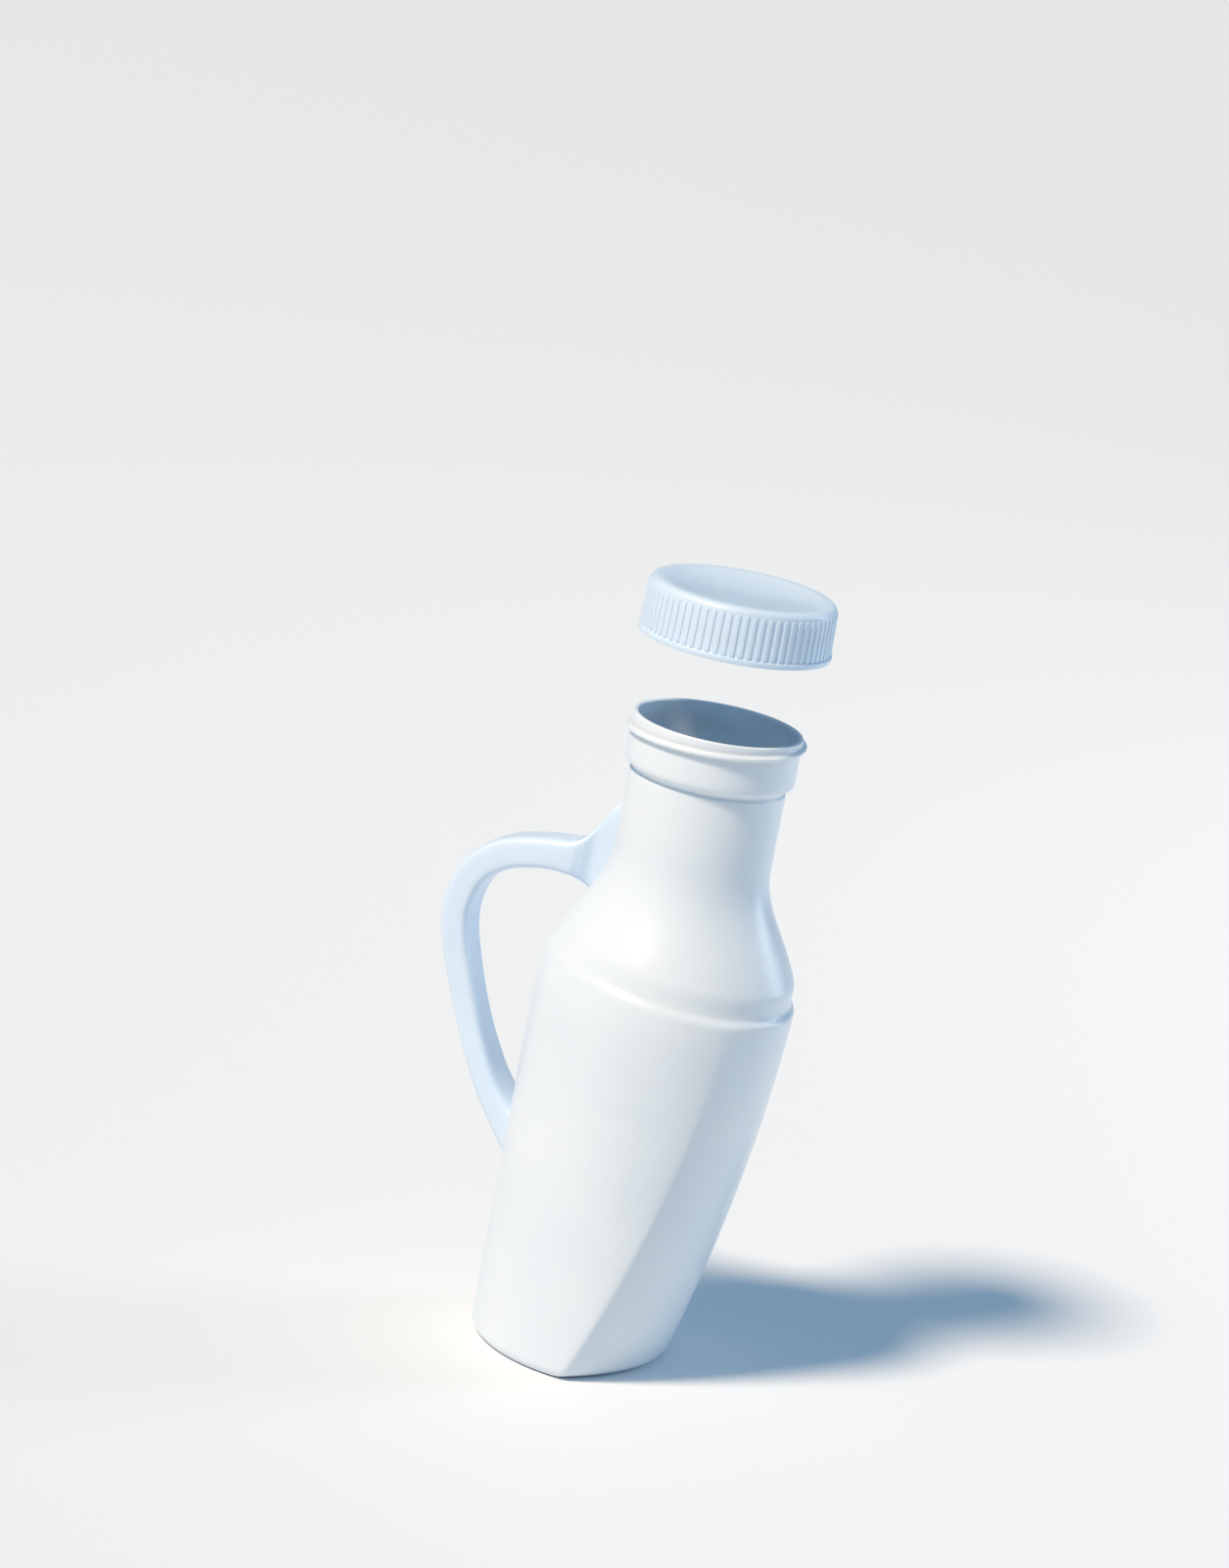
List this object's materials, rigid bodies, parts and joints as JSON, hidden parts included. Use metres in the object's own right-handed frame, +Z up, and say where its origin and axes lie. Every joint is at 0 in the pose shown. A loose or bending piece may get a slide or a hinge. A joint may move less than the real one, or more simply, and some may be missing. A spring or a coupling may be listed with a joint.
{
  "type": "urine bottle",
  "caption": "Upright ward urine bottle with a flattened resting face, a side carry handle, a threaded mouth and a ribbed screw cap with a sealing liner.",
  "frame": {"origin": "on the plane of the base's flat underside, on the axis of the neck", "axes": "+Z up along the neck's axis, the carry handle on the -X side, the resting face on the +X side, mirror plane XZ"},
  "size_m": [0.1403, 0.099, 0.2998],
  "materials": {
    "shell_plastic": "satin, milky and see-through to light",
    "handle_plastic": "satin",
    "cap_plastic": "satin",
    "liner_foam": "matte"
  },
  "bodies": {
    "bottle": {"bottle_shell": "shell_plastic", "carry_handle": "handle_plastic"},
    "liner": {"cap_liner": "liner_foam"},
    "cap": {"screw_cap": "cap_plastic"}
  },
  "joints": [
    {"name": "cap_rise", "type": "slide", "parent": "bottle", "child": "liner", "axis": [0, 0, 1], "range_m": [-0.048, 0]},
    {"name": "cap_turn", "type": "hinge", "parent": "liner", "child": "cap", "pos_m": [0, 0, 0.279], "axis": [0, 0, 1], "range_deg": [-2880, 0]}
  ],
  "couplings": [
    {"joint": "cap_rise", "follows": "cap_turn", "m_per_rad": 0.00095493}
  ]
}
